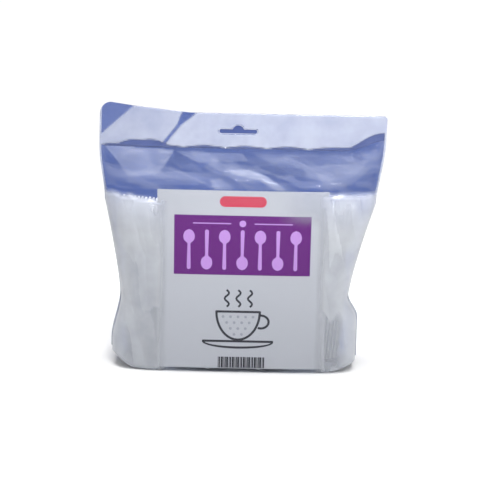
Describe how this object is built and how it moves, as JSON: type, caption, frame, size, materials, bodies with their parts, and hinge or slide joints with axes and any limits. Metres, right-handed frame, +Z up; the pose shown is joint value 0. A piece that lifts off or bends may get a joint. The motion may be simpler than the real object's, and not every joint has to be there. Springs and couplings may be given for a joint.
{
  "type": "plastic cutlery pack",
  "caption": "Film bag of nested white plastic teaspoons behind a printed white card, with a clear front, a blue back and a flat header with a hang slot.",
  "frame": {"origin": "on the floor, under the middle of the pack", "axes": "+X to the right in the front view, +Y from the clear front to the blue back, +Z up from the base to the header"},
  "size_m": [0.2, 0.0566, 0.1831],
  "materials": {
    "clear_film": "clear glossy film",
    "blue_film": "blue-tinted glossy film",
    "white_card": "smooth printed card",
    "white_plastic": "moulded gloss"
  },
  "bodies": {
    "root": {"front_film": "clear_film", "back_film": "blue_film", "label_card": "white_card", "teaspoon_stack_1": "white_plastic", "teaspoon_stack_2": "white_plastic", "teaspoon_stack_3": "white_plastic", "teaspoon_stack_4": "white_plastic", "teaspoon_stack_5": "white_plastic", "teaspoon_stack_6": "white_plastic", "teaspoon_stack_7": "white_plastic", "teaspoon_stack_8": "white_plastic", "teaspoon_stack_9": "white_plastic", "teaspoon_stack_10": "white_plastic", "teaspoon_stack_11": "white_plastic", "teaspoon_stack_12": "white_plastic"}
  },
  "joints": []
}
